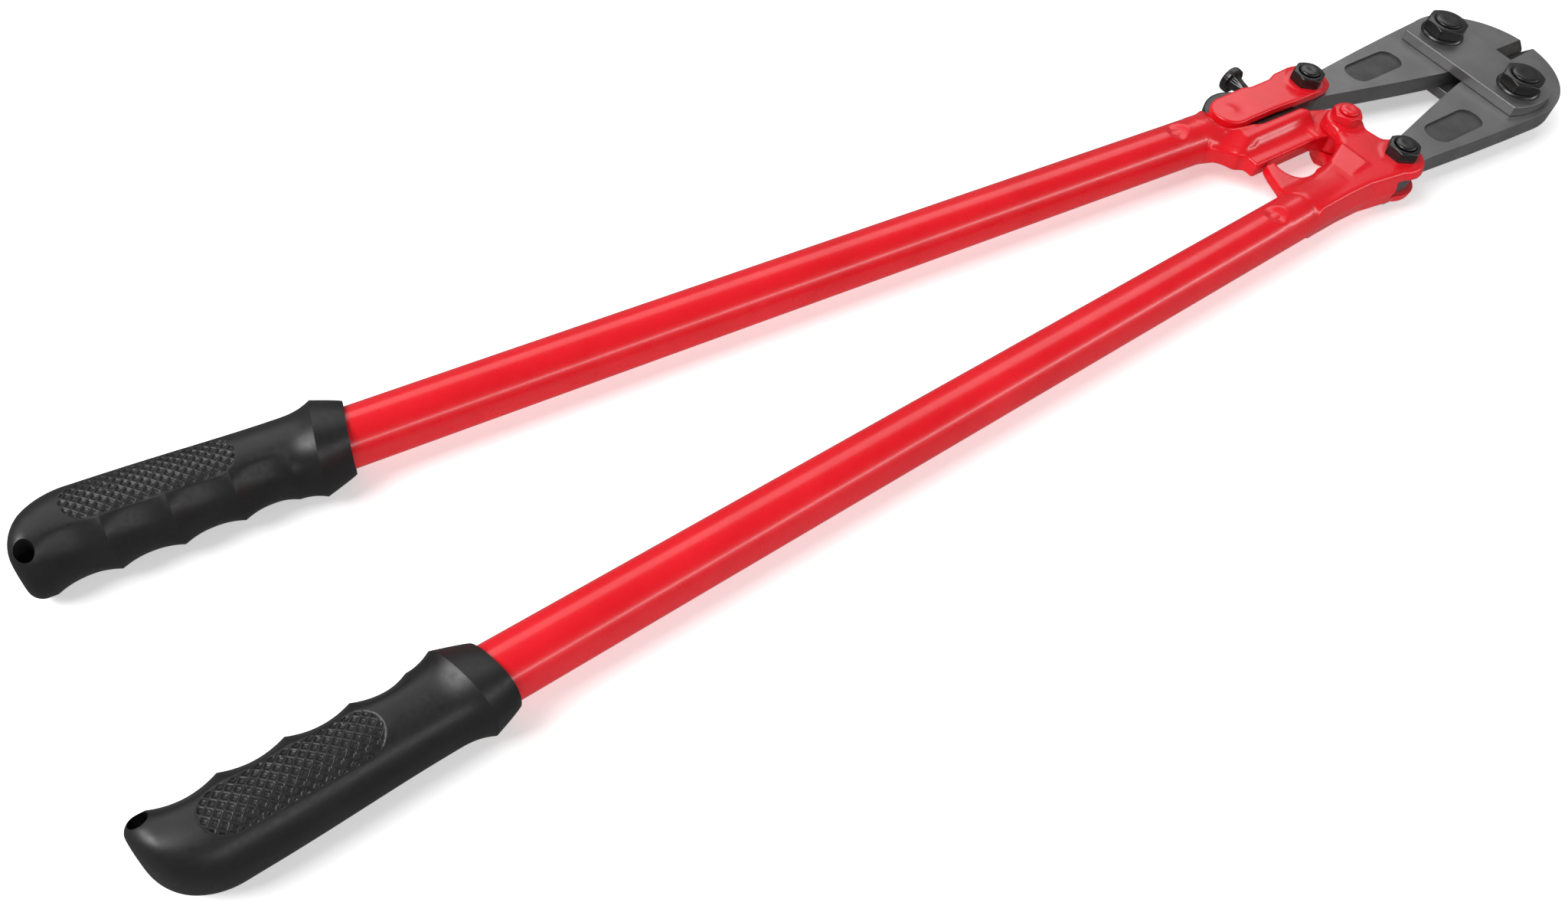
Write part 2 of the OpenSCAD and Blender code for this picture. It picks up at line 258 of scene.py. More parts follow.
def piece(name, shape, body, slot, *nodes, crease=35, edge=None, cutters=()):
    """One visible piece. edge rounds its sharp edges, in mm. cutters are shapes taken away,
    each with the material that its cut faces get."""
    obj = bpy.data.objects.new(name, mesh_of(name, shape))
    scene.collection.objects.link(obj)
    obj.data.materials.append(MATERIALS[slot])
    tools = []
    for cutter, material in cutters:
        tool = bpy.data.objects.new(name + ".cutter", mesh_of(name + ".cutter", cutter))
        scene.collection.objects.link(tool)
        tool.data.materials.append(material or MATERIALS[slot])
        tools.append(tool)
        cut = obj.modifiers.new("cut", "BOOLEAN")
        cut.operation = "DIFFERENCE"
        cut.solver = "EXACT"
        cut.material_mode = "TRANSFER"
        cut.object = tool
    obj.data.shade_smooth()
    if edge:
        bevel = obj.modifiers.new("edge", "BEVEL")
        bevel.width = edge * MM
        bevel.segments = 3
        bevel.limit_method = "ANGLE"
        bevel.angle_limit = math.radians(28)
        even = obj.modifiers.new("even", "WEIGHTED_NORMAL")
        even.weight = 100
    if tools or edge:
        bpy.context.view_layer.update()
        graph = bpy.context.evaluated_depsgraph_get()
        mesh = bpy.data.meshes.new_from_object(obj.evaluated_get(graph), depsgraph=graph)
        obj.modifiers.clear()
        obj.data = mesh
        for tool in tools:
            bpy.data.objects.remove(tool)
    if not edge:
        obj.data.set_sharp_from_angle(angle=math.radians(crease))
    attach(obj, body)
    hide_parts(*nodes)
    return obj


def prism(outline, low, high):
    """A plate: an outline in plan, between two heights."""
    plan = np.asarray(outline, float)
    turn = np.sum(plan[:, 0] * np.roll(plan[:, 1], -1) - np.roll(plan[:, 0], -1) * plan[:, 1])
    if turn < 0:
        plan = plan[::-1]
    n = len(plan)
    points = np.vstack([np.c_[plan, np.full(n, low)], np.c_[plan, np.full(n, high)]])
    faces = [tuple(range(n))[::-1], tuple(range(n, 2 * n))]
    faces += [(i, (i + 1) % n, n + (i + 1) % n, n + i) for i in range(n)]
    return points, faces


def around(steps):
    """Evenly spaced angles of one full turn."""
    return np.radians(np.arange(steps) * 360 / steps)


def arc(x, y, r, start, stop, steps):
    """Points on an arc in plan, angles in degrees."""
    angles = np.radians(np.linspace(start, stop, steps))
    return [(x + r * math.cos(a), y + r * math.sin(a)) for a in angles]


def disc(x, y, r, low, high, steps=64):
    return prism(arc(x, y, r, 0, 360, steps + 1)[:-1], low, high)


def stack(rings, loop=False):
    """Quads between rings of equally many points. The ends are closed, or meet in a loop."""
    rings = np.asarray(rings, float)
    count, n = rings.shape[:2]
    faces = []
    for i in range(count if loop else count - 1):
        a = i * n
        b = (i + 1) % count * n
        faces += [(a + j, a + (j + 1) % n, b + (j + 1) % n, b + j) for j in range(n)]
    if not loop:
        faces.append(tuple(range(n))[::-1])
        faces.append(tuple(range((count - 1) * n, count * n)))
    return rings.reshape(-1, 3), faces


def rounded(profile, r, steps=3):
    """A polyline (radius, height) whose inner corners are replaced by small arcs."""
    p = np.asarray(profile, float)
    out = [p[0]]
    for before, at, after in zip(p[:-2], p[1:-1], p[2:]):
        to_before = before - at
        to_after = after - at
        reach = min(r, np.linalg.norm(to_before) * 0.45, np.linalg.norm(to_after) * 0.45)
        a = at + to_before / np.linalg.norm(to_before) * reach
        b = at + to_after / np.linalg.norm(to_after) * reach
        for t in np.linspace(0, 1, steps + 1):
            out.append((1 - t) ** 2 * a + 2 * t * (1 - t) * at + t ** 2 * b)
    out.append(p[-1])
    return np.array(out)


def lathe(profile, x, y, steps=64, loop=False):
    """A profile (radius, height) turned about a vertical axis."""
    a = around(steps)
    rings = [np.c_[x + r * np.cos(a), y + r * np.sin(a), np.full(steps, z)] for r, z in profile]
    return stack(rings, loop)


def hex_shape(across, low, high, hole, x, y, turn):
    """A nut or a bolt's head. The corners are cut by a turned chamfer at both ends."""
    a = around(96)
    wall = across / 2 / np.cos((a - math.radians(turn)) % (math.pi / 3) - math.pi / 6)
    wall = np.minimum(wall, across / 2 / math.cos(math.pi / 6) * 0.985)
    seat = across / 2 * 0.965
    slope = math.tan(math.radians(28))
    drop = np.maximum(wall - seat, 0) * slope

    def ring(radius, height):
        r = np.broadcast_to(radius, a.shape)
        z = np.broadcast_to(height, a.shape)
        return np.c_[x + r * np.cos(a), y + r * np.sin(a), z]

    round_ = 0.3
    rings = [
        ring(hole, low),
        ring(seat, low),
        ring(wall - round_, low + drop * 0.5),
        ring(wall, low + drop * 0.5 + round_),
        ring(wall, high - drop - round_),
        ring(wall - round_ * 0.3, high - drop - round_ * 0.3),
        ring(wall - round_, high - drop + round_ * slope),
        ring(seat, high),
        ring(hole + 1.0, high),
        ring(hole, high - 0.9),
    ]
    return stack(rings, loop=True)


def bolt_end(r, low, seat, top, x, y, spread_r):
    """A bolt's shank from low, and its end peened over to a flat button above seat."""
    rise = top - seat
    profile = [
        (0.3, low), (r, low), (r, seat + 0.1), (spread_r, seat + rise * 0.22),
        (spread_r, seat + rise * 0.62), (spread_r * 0.86, seat + rise * 0.92),
        (spread_r * 0.5, top), (0.3, top - 0.12),
    ]
    return lathe(rounded(profile, 0.8, 4), x, y)


# ------------------------------------------------------------------ forged shapes from fields


def eased(t):
    """0 to 1 with a soft start and end."""
    t = np.clip(t, 0, 1)
    return t * t * (3 - 2 * t)


def near(a, b, k):
    """Union of two fields with a fillet of about k."""
    h = np.clip(0.5 + 0.5 * (b - a) / k, 0, 1)
    return b + (a - b) * h - k * h * (1 - h)


def both(a, b, k):
    """Intersection of two fields with a round of about k."""
    return -near(-a, -b, k)


class Field:
    """Signed distances in mm on a grid, negative inside. Shapes are drawn at +Y.

    height is the distance from mid-thickness. along, across and from_axis are measured from
    the left handle's axis.
    """

    def __init__(self, low, high, step):
        self.low = np.array(low, float)
        self.step = step
        axes = [np.arange(a, b + step, step) for a, b in zip(low, high)]
        self.x, self.y, self.z = np.meshgrid(*axes, indexing="ij", sparse=True)
        self.height = np.abs(self.z)
        offset_x = self.x - HANDLE_REF[0]
        offset_y = self.y - HANDLE_REF[1]
        self.along = offset_x * ALONG[0] + offset_y * ALONG[1]
        self.across = offset_x * INWARD[0] + offset_y * INWARD[1]
        self.from_axis = np.sqrt(self.across ** 2 + self.z ** 2)

    def plan(self, points):
        """Distance to a polygon in plan."""
        p = np.asarray(points, float)
        q = np.roll(p, -1, axis=0)
        shape = np.broadcast(self.x, self.y).shape
        best = np.full(shape, 1e9)
        inside = np.zeros(shape, bool)
        for (ax, ay), (bx, by) in zip(p, q):
            ex = bx - ax
            ey = by - ay
            t = ((self.x - ax) * ex + (self.y - ay) * ey) / (ex * ex + ey * ey)
            t = np.clip(t, 0, 1)
            gap = (self.x - ax - t * ex) ** 2 + (self.y - ay - t * ey) ** 2
            best = np.minimum(best, gap)
            if by != ay:
                crosses = (ay > self.y) != (by > self.y)
                inside ^= crosses & (self.x < ax + (self.y - ay) * ex / ey)
        return np.where(inside, -1, 1) * np.sqrt(best)

    def round(self, centre, r):
        return np.hypot(self.x - centre[0], self.y - centre[1]) - r

    def slab(self, plan, half, k=0.8, draft=0.0):
        """A plan shape between -half and half, with edges rounded by about k."""
        return both(plan + draft * self.height, self.height - half, k)

    def rod(self, r, start, stop, k=0.5):
        """A cylinder on the handle's axis."""
        ends = np.maximum(start - self.along, self.along - stop)
        return both(self.from_axis - r, ends, k)

    def neck(self, start, stop, r, step_down=0.0):
        """Round neck flush with the tube. It tapers into the head, and its outer side may
        stand step_down inside the tube."""
        r = r - 0.13 * np.clip(76 - self.along, 0, 40)
        r = r - step_down * eased((-self.across - 3) / 6)
        ends = np.maximum(start - self.along, self.along - stop)
        return both(self.from_axis - r, ends, 0.3)

    def softened(self, field, times=2):
        """Rounds every edge and corner a little."""
        for _ in range(times):
            for axis in range(3):
                padded = np.concatenate(
                    [field.take([0], axis), field, field.take([-1], axis)], axis
                )
                n = padded.shape[axis]
                before = padded.take(range(0, n - 2), axis)
                after = padded.take(range(2, n), axis)
                field = (before + 2 * field + after) / 4
        return field

    def surface(self, field):
        """The field's zero surface as a closed mesh of quads, by surface nets."""
        inside = field < 0
        cells = np.array(field.shape) - 1
        total = np.zeros((cells.prod(), 3))
        count = np.zeros(cells.prod())
        quads = []
        for axis in range(3):
            a, b = [i for i in range(3) if i != axis]
            first = inside.take(range(0, cells[axis]), axis)
            second = inside.take(range(1, cells[axis] + 1), axis)
            at = np.argwhere(first != second)
            keep = np.all((at[:, [a, b]] > 0) & (at[:, [a, b]] < cells[[a, b]]), axis=1)
            at = at[keep]
            far = at.copy()
            far[:, axis] += 1
            f0 = field[tuple(at.T)]
            f1 = field[tuple(far.T)]
            point = at.astype(float)
            point[:, axis] += f0 / (f0 - f1)
            corner = []
            for da, db in ((1, 1), (0, 1), (0, 0), (1, 0)):
                cell = at.copy()
                cell[:, a] -= da
                cell[:, b] -= db
                index = np.ravel_multi_index(tuple(cell.T), cells)
                for i in range(3):
                    total[:, i] += np.bincount(index, point[:, i], len(count))
                count += np.bincount(index, minlength=len(count))
                corner.append(index)
            corner = np.stack(corner, 1)
            out = inside[tuple(at.T)]
            if axis == 1:
                out = ~out
            corner[~out] = corner[~out][:, ::-1]
            quads.append(corner)
        quads = np.concatenate(quads)
        used, renamed = np.unique(quads, return_inverse=True)
        points = self.low + total[used] / count[used, None] * self.step
        return points, [tuple(q) for q in renamed.reshape(-1, 4).tolist()]


# ------------------------------------------------------------------ camera, floor, light


def camera():
    """Looks down at the tool from beside the right grip. Its axes and its place, in metres."""
    right = (0.821318, -0.560125, 0.108149)
    up = (0.392424, 0.692333, 0.605540)
    back = (-0.414053, -0.454900, 0.788432)
    place = (-0.416641, -0.320310, 0.514022)
    data = bpy.data.cameras.new("camera")
    data.lens = 31.1755
    data.sensor_width = 36
    data.sensor_fit = "HORIZONTAL"
    data.clip_start = 0.01
    obj = bpy.data.objects.new("camera", data)
    scene.collection.objects.link(obj)
    rows = [(right[i], up[i], back[i], place[i]) for i in range(3)]
    obj.matrix_world = Matrix((*rows, (0, 0, 0, 1)))
    scene.camera = obj


def floor():
    """A plain pale floor under the tool."""
    mesh = bpy.data.meshes.new("floor")
    half = 4.0
    corners = [(-half, -half, 0), (half, -half, 0), (half, half, 0), (-half, half, 0)]
    mesh.from_pydata(corners, [], [(0, 1, 2, 3)])
    obj = bpy.data.objects.new("floor", mesh)
    scene.collection.objects.link(obj)
    n = Nodes("floor", Roughness=0.9, Emission_Color=(1, 1, 1, 1), Emission_Strength=0.45)
    n.tint(n.spread(n.noise(3, 2), 0, 1), (0.90, 0.90, 0.90), (0.92, 0.92, 0.92))
    mesh.materials.append(n.material)
    obj.visible_glossy = False


def area_light(name, place, target, size, power):
    data = bpy.data.lights.new(name, "AREA")
    data.shape = "RECTANGLE"
    data.size = size[0]
    data.size_y = size[1]
    data.energy = power
    obj = bpy.data.objects.new(name, data)
    scene.collection.objects.link(obj)
    back = np.array(place, float) - np.array(target, float)
    back /= np.linalg.norm(back)
    right = np.cross((0, 0, 1), back)
    right /= np.linalg.norm(right)
    up = np.cross(back, right)
    rows = [(right[i], up[i], back[i], place[i]) for i in range(3)]
    obj.matrix_world = Matrix((*rows, (0, 0, 0, 1)))


def lights():
    """Soft studio light: two large panels, and a long strip that draws a line along the tubes."""
    world = bpy.data.worlds.new("studio")
    world.use_nodes = True
    background = world.node_tree.nodes["Background"]
    background.inputs["Color"].default_value = (1, 1, 1, 1)
    background.inputs["Strength"].default_value = 0.16
    scene.world = world
    area_light("key", (-1.9, 0.5, 2.3), (0, 0, 0), (1.8, 1.8), 95)
    area_light("back", (0.9, 1.9, 2.2), (0.1, 0, 0), (4.2, 1.5), 34)
    area_light("strip", (1.0, -2.1, 1.12), (0.1, 0, 0), (4.6, 0.28), 30)
    scene.view_settings.view_transform = "Standard"


camera()
floor()
lights()


# ------------------------------------------------------------------ jaws and straps


def strap_outline():
    r = 48.2
    rear = -20.5
    front = 20.0
    rear_angle = math.degrees(math.acos(rear / r))
    front_angle = math.degrees(math.acos(front / r))
    upper = arc(0, 0, r, front_angle, rear_angle, 25)
    lower = arc(0, 0, r, 360 - rear_angle, 360 - front_angle, 25)
    return upper + lower


def straps():
    for name, low in (("strap_top", SLOT_HALF), ("strap_bottom", -STRAP_TOP)):
        holes = [
            (disc(0, side * JAW_BOLT_Y, JAW_BORE_R, low - 1, low + STRAP_T + 1), None)
            for side in (-1, 1)
        ]
        shape = prism(strap_outline(), low, low + STRAP_T)
        piece(name + "_plate", shape, "straps", "jaw_steel", name, edge=0.4, cutters=holes)


def jaw_outline():
    """The left jaw in plan, from the closed edge round the nose and back to the tail's eye."""
    nose_r = 52.5
    nose_x = 4.35
    corner = 1.6
    edge_y = 0.1
    tip_angle = math.degrees(math.asin((edge_y + corner) / (nose_r - corner)))
    tip_x = nose_x + (nose_r - corner) * math.cos(math.radians(tip_angle))
    line = [(4, edge_y)]
    line += arc(tip_x, edge_y + corner, corner, -90, tip_angle, 9)
    line += arc(nose_x, 0, nose_r, tip_angle + 2, 90, 40)
    line += [(0, 52.3), (-25, 51), (-60, 48.7), (-100, 45.4), (-110, 45.6)]
    line += arc(*TAIL_BOLT, 12.5, 62, 288, 30)
    line += [(-118, 26.5), (-100, 22.3), (-60, 13.3), (-24, 5.8), (-12, 4.4)]
    return line


def pocket_outline():
    r = 7.9
    rear, front, low, high = -85, -39.7, 23.5, 41.3
    line = arc(front - r, low + r, r, -90, 0, 9)
    line += arc(front - r, high - r, r, 0, 90, 9)
    line += arc(rear + r, high - r, r, 90, 180, 9)
    line += arc(rear + r, low + r, r, 180, 270, 9)
    return line


def blade_bevel(side):
    """Wedge that leaves the sloping face above (side 1) or below (side -1) the cutting edge."""
    ends = []
    for x, reach in ((6, 7.2), (62, 5.0)):
        section = [(-1, 0.5), (0.1, 0.5), (reach, JAW_HALF), (reach, 7), (-1, 7)]
        ends.append([(x, y, z * side) for y, z in section])
    points, faces = stack(ends)
    if side < 0:
        faces = [tuple(reversed(f)) for f in faces]
    return points, faces


def jaws():
    # The bevel and pocket cuts leave faces in the darker painted-shade steel.
    cutters = [(blade_bevel(1), JAW_BEVEL_SHADE), (blade_bevel(-1), JAW_BEVEL_SHADE)]
    pocket_floor = JAW_HALF - POCKET_DEPTH
    for low, high in ((pocket_floor, JAW_HALF + 1), (-JAW_HALF - 1, -pocket_floor)):
        cutters.append((prism(pocket_outline(), low, high), JAW_POCKET_SHADE))
    cutters.append((disc(0, JAW_BOLT_Y, JAW_BORE_R, -8, 8), None))
    cutters.append((disc(*TAIL_BOLT, TAIL_BORE_R, -8, 8), None))
    shape = prism(jaw_outline(), -JAW_HALF, JAW_HALF)
    piece("blade_left", shape, "left_jaw", "jaw_steel", "jaw_left", edge=0.45, cutters=cutters)
    others = [(mirrored(*cutter), material) for cutter, material in cutters]
    shape = mirrored(*shape)
    piece("blade_right", shape, "right_jaw", "jaw_steel", "jaw_right", edge=0.45, cutters=others)


straps()
jaws()


# ------------------------------------------------------------------ fasteners


def jaw_fasteners():
    bolts = []
    nuts = []
    washers = []
    nut_low = STRAP_TOP + WASHER_T
    nut_high = nut_low + NUT_H
    flange = [(JAW_BORE_R, STRAP_TOP), (13.8, STRAP_TOP), (13.8, STRAP_TOP + 0.8),
              (12.6, nut_low), (JAW_BORE_R, nut_low)]
    for side in (-1, 1):
        y = side * JAW_BOLT_Y
        bolts.append(bolt_end(7.6, -STRAP_TOP - 1, nut_high - 0.5, nut_high + 1.8, 0, y, 8.7))
        bolts.append(hex_shape(JAW_NUT_FLATS, -ORIGIN[2], -STRAP_TOP, 0.3, 0, y, 10))
        nuts.append(hex_shape(JAW_NUT_FLATS, nut_low, nut_high, JAW_BORE_R, 0, y, 20))
        washers.append(lathe(rounded(flange + flange[:1], 0.5)[:-1], 0, y, loop=True))
    piece("jaw_bolt_pair", joined(*bolts), "straps", "black_oxide", "jaw_bolts")
    piece("jaw_nut_pair", joined(*nuts), "straps", "black_oxide", "jaw_nuts")
    piece("jaw_washer_pair", joined(*washers), "straps", "black_oxide", "jaw_washers")


def tail_fasteners():
    for side, label, body, turn in (
        (1, "left", "adjuster_link", 22),
        (-1, "right", "right_handle", 30),
    ):
        x = TAIL_BOLT[0]
        y = side * TAIL_BOLT[1]
        top = HEAD_HALF + NUT_H
        shank = bolt_end(5.6, -HEAD_HALF - 1, top - 0.4, top + 1.9, x, y, 6.3)
        head = hex_shape(TAIL_NUT_FLATS, -HEAD_HALF - 6.7, -HEAD_HALF, 0.3, x, y, 0)
        piece("tail_bolt_" + label + "_look", joined(shank, head), body, "black_oxide",
              "tail_bolt_" + label)
        nut = hex_shape(TAIL_NUT_FLATS, HEAD_HALF, top, TAIL_BORE_R, x, y, turn)
        piece("tail_nut_" + label + "_look", nut, body, "black_oxide", "tail_nut_" + label)


def centre_fasteners():
    seat = HEAD_HALF + 0.6
    top = seat + 6
    pin = bolt_end(4.4, -seat - 1, top - 0.3, top + 2.2, *CENTRE_BOLT, 5.9)
    head = hex_shape(CENTRE_NUT_FLATS, -seat - 5.6, -seat, 0.3, *CENTRE_BOLT, 0)
    piece("centre_bolt_look", joined(pin, head), "right_handle", "red_paint", "centre_bolt")
    nut = hex_shape(CENTRE_NUT_FLATS, seat, top, CENTRE_BORE_R, *CENTRE_BOLT, 50)
    piece("centre_nut_look", nut, "right_handle", "red_paint", "centre_nut")


jaw_fasteners()
tail_fasteners()
centre_fasteners()


# ------------------------------------------------------------------ handle tubes


def on_handle(distance, inward, height):
    """Points given along the left handle, across it towards the axis, and up."""
    d = np.asarray(distance, float)[..., None]
    w = np.asarray(inward, float)[..., None]
    z = np.asarray(height, float)[..., None]
    return HANDLE_REF + d * ALONG + w * INWARD + z * UP


def handle_tube():
    """A tube with a rounded front rim, and the dent on top where it is staked to the head."""
    a = around(96)
    dent_at = 105.0
    dent_r = 7.2
    dent_depth = 1.9
    rim = (0.35, 0.08, 0.0)    # how far the first three rings lie inside the tube's radius
    stations = [TUBE_START, TUBE_START + 0.25, TUBE_START + 0.8]
    stations += list(np.arange(TUBE_START + 4, dent_at - dent_r - 1, 4))
    stations += list(np.arange(dent_at - dent_r - 1, dent_at + dent_r + 1.1, 0.5))
    stations += list(np.linspace(dent_at + dent_r + 6, TUBE_END, 12))
    rings = []
    for i, d in enumerate(stations):
        r = TUBE_R - rim[min(i, 2)]
        w = r * np.cos(a)
        z = r * np.sin(a)
        reach = np.hypot(w, d - dent_at) / dent_r
        bowl = dent_depth * np.clip(1 - reach ** 2, 0, 1) ** 1.3
        depth = np.where(z > 0, bowl, 0)
        lip = np.where(z > 0, 0.12 * np.exp(-((reach - 1.1) / 0.16) ** 2), 0)
        rings.append(on_handle(np.full(len(a), d), w, z - depth + lip))
    for d in (TUBE_END, TUBE_START):
        rings.append(on_handle(np.full(len(a), d), BORE_R * np.cos(a), BORE_R * np.sin(a)))
    return stack(rings[::-1], loop=True)


def tubes():
    shape = handle_tube()
    piece("handle_tube_left", shape, "left_handle", "red_paint", "tube_left", crease=50)
    piece("handle_tube_right", mirrored(*shape), "right_handle", "red_paint", "tube_right",
          crease=50)


tubes()


# ------------------------------------------------------------------ grips

GRIP_R = 17.4             # behind the collar; it swells by GRIP_SWELL towards the end
GRIP_SWELL = 1.6
GRIP_ROUND = 2.35         # how square a grip's cross-section is: 2 is an ellipse
COLLAR_MOUTH_R = 15.7
COLLAR_R = 20.4
COLLAR_SLANT = math.radians(12)
GROOVE_DEPTH = 2.3        # of the finger grooves
PANEL_AT = 82.0           # middle of the cross-hatched panel, from the grip's front
PANEL_HALF = 35.3
PANEL_R = 10.5
PANEL_SIDE = -1.6
CELL = 3.4                # pitch of the panel's ribs


def unit_section():
    """Points round a cross-section of half-widths 1, closely spaced where the panels are."""
    n = GRIP_ROUND
    face = np.linspace(0.68, -0.70, 72)
    top = np.c_[face, (1 - np.abs(face) ** n) ** (1 / n)]
    bottom = top[::-1] * (1, -1)
    sides = []
    for start, stop in ((top[-1], bottom[0]), (bottom[-1], top[0])):
        a = math.atan2(start[1], start[0])
        b = math.atan2(stop[1], stop[0])
        if b < a and start[0] < 0:
            b += 2 * math.pi
        angles = np.linspace(a, b, 30)[1:-1]
        c = np.cos(angles)
        s = np.sin(angles)
        r = (np.abs(c) ** n + np.abs(s) ** n) ** (-1 / n)
        sides.append(np.c_[r * c, r * s])
    return np.vstack([top, sides[0], bottom, sides[1]])


def end_round(t, r):
    """How far a wall has drawn in at t before the grip's end, for a corner of radius r."""
    inside = np.clip(r - t, 0, r)
    return r - math.sqrt(r * r - inside * inside)


def finger_groove(s):
    """Depth of the finger grooves on the inner side, at s from the grip's front."""
    first = 27.0
    last = 130.0
    pitch = 25.8
    if s < first or s > last:
        return 0.0
    phase = ((s - first) / pitch) % 1.0
    dip = 1 - (2 * phase - 1) ** 2
    return GROOVE_DEPTH * dip


def panel_relief(s, w):
    """How deep the cross-hatched panel lies below the grip's surface."""
    beyond = np.maximum(np.abs(s - PANEL_AT) - (PANEL_HALF - PANEL_R), 0)
    inside = PANEL_R - np.hypot(beyond, w - PANEL_SIDE)
    ledge = 0.25 * eased(inside / 0.6)
    u = ((s + w) / math.sqrt(2) / CELL) % 1.0 - 0.5
    v = ((s - w) / math.sqrt(2) / CELL) % 1.0 - 0.5
    from_middle = np.maximum(np.abs(u), np.abs(v))
    pit = 0.75 * eased((0.40 - from_middle) / 0.16)
    return ledge + pit * eased((inside - 0.6) / 0.5)


def collar_radius(q):
    """Radius of the collar at q along its slanting axis, and of the grip behind it."""
    crest = 14
    fade = 13
    if q < crest:
        return COLLAR_MOUTH_R + (COLLAR_R - COLLAR_MOUTH_R) * (q / crest) ** 0.9
    if q < crest + fade:
        return GRIP_R + (COLLAR_R - GRIP_R) * (1 - (q - crest) / fade) ** 2.2
    return GRIP_R


def grip_shape():
    """The left grip: collar, hollow, panels, finger grooves and rounded end, then its bore."""
    section = unit_section()
    slant = math.tan(COLLAR_SLANT)
    stations = list(np.linspace(0, 13, 9)) + [13.6, 14.0, 14.4, 15.0]
    stations += list(np.linspace(16, 44, 22))
    stations += list(np.arange(45, 119, 0.375))
    stations += list(GRIP_LENGTH - 21 * (1 - np.sin(np.linspace(0, math.pi / 2, 26))))[1:]
    rings = []
    for s in stations:
        to_end = GRIP_LENGTH - s
        if s < 28:
            r = collar_radius(s)
        else:
            r = GRIP_R + GRIP_SWELL * eased((s - 28) / 75)
        half_w = r
        half_h = r + 0.8 * eased((s - 90) / 40)
        outer = -half_w + end_round(to_end, 27.0)
        inner = half_w - end_round(to_end, 6.0)
        half_h -= end_round(to_end, 9.0)
        centre = (inner + outer) / 2
        half = (inner - outer) / 2
        w = centre + half * section[:, 0]
        z = half_h * section[:, 1]
        groove = finger_groove(s)
        w = w - groove * eased((section[:, 0] - 0.15) / 0.8)
        z = z * (1 - 0.05 * groove * eased((section[:, 0] - 0.45) / 0.4))
        d = s + slant * w * (1 - eased((s - 18) / 26))
        if abs(s - PANEL_AT) < PANEL_HALF + 1:
            relief = panel_relief(s, w)
            z = z - np.sign(z) * relief * (np.abs(section[:, 1]) > 0.6)
        rings.append(on_handle(GRIP_START + d, w, z))
    mouth = TUBE_R + 0.05
    a = np.arctan2(section[:, 1], section[:, 0])
    bore = []
    bottom = TUBE_END - GRIP_START + 0.5
    for s, r in ((bottom, 0.3), (bottom, mouth), (0.6, mouth), (0.0, mouth + 0.5)):
        w = r * np.cos(a)
        bore.append(on_handle(GRIP_START + s + (slant * w if s < 1 else 0), w, r * np.sin(a)))
    return stack(list(rings[::-1]) + bore[::-1])


def grips():
    shape = grip_shape()
    hole_at = on_handle(GRIP_START + GRIP_LENGTH - 6.3, 12.3, 0)
    hole_r = 3.9
    hole = disc(hole_at[0], hole_at[1], hole_r, -25, 25, 40)
    piece("grip_left_look", shape, "left_handle", "grip_rubber", "grip_left",
          crease=40, cutters=[(hole, None)])
    piece("grip_right_look", mirrored(*shape), "right_handle", "grip_rubber", "grip_right",
          crease=40, cutters=[(mirrored(*hole), None)])


grips()


# ------------------------------------------------------------------ forged heads


def head_left():
    """Head of the left handle: neck, ridge, web with its stop, ledge and tongue."""
    f = Field((-260, -13, -16), (-116, 56, 16), 0.6)
    tongue = f.slab(
        f.plan([(-152, 0.3), (-152, 20), (-136, 21.3), (-122, 15.5), (-121, 4),
                (-134, -11), (-144, -2)]), TONGUE_HALF, 0.6)
    eye = f.slab(f.round(CENTRE_BOLT, 11.8), TONGUE_HALF, 0.6)
    web = f.slab(
        f.plan([(-218, 24), (-207.5, 13), (-204, 11.5), (-203.8, 0.6), (-146, 0.6),
                (-144, 12), (-178, 24), (-200, 30)]), 5.0, 1.2)
    # ridge whose inner side slopes down to the web
    slope = (f.height - HEAD_HALF) * 6.5 + (16.2 - f.y) * 7.0
    slope = slope / math.hypot(6.5, 7.0)
    ridge = f.slab(
        f.plan([(-209, 12), (-201, 8), (-143.5, 8), (-143.5, 19), (-147, 21.8), (-178, 22.2),
                (-194, 25), (-209, 26)]), HEAD_HALF, 1.0)
    ramp = (f.height - HEAD_HALF - 0.7 * np.minimum(f.x + 198, 0)) * 0.82
    ridge = both(both(ridge, slope, 1.0), ramp, 2.0)
    # neck, scooped where the link's round end lies
    from_pin = np.hypot(f.x - LINK_PIN[0], f.y - LINK_PIN[1])
    scoop = (f.height - 5.9 - np.maximum(from_pin - 13.0, 0) * 0.85) * 0.76
    neck = f.neck(60, TUBE_START + 9, 14.15)
    flare = f.slab(
        f.plan([(-213, 26), (-206, 15.5), (-197, 14.5), (-190, 22), (-192, 32), (-211, 34)]),
        6.5, 2.0)
    neck = both(near(neck, flare, 7.0), scoop, 2.5)
    shoulder = f.slab(
        f.plan([(-207, 48), (-204, 49.5), (-196, 47), (-186, 44), (-186, 26), (-207, 28)]),
        HEAD_HALF, 2.0)
    shoulder = both(shoulder, scoop, 2.0)
    ledge = f.slab(
        near(f.round(LINK_PIN, 12.2),
             f.plan([(-204, 28), (-204, 46), (-190, 51), (-179, 48), (-178, 21), (-200, 21)]),
             1.0), 5.85, 0.6)
    body = near(near(neck, shoulder, 3.0), ridge, 5.0)
    body = near(body, web, 3.0)
    body = near(body, ledge, 0.8)
    body = near(body, np.minimum(tongue, eye), 1.0)
    body = f.softened(body, 2)
    body = np.minimum(body, f.rod(BORE_R - 0.05, TUBE_START - 4, SPIGOT_END, 0.5))
    # room for the right head's ears, then the bores
    ears = np.maximum(f.round(CENTRE_BOLT, 16.5), TONGUE_HALF + 0.05 - f.height)
    body = both(body, -ears, 0.4)
    body = np.maximum(body, -f.round(CENTRE_BOLT, TONGUE_HOLE_R))
    body = np.maximum(body, -f.round(LINK_PIN, LINK_BORE_R))
    return f.surface(body)


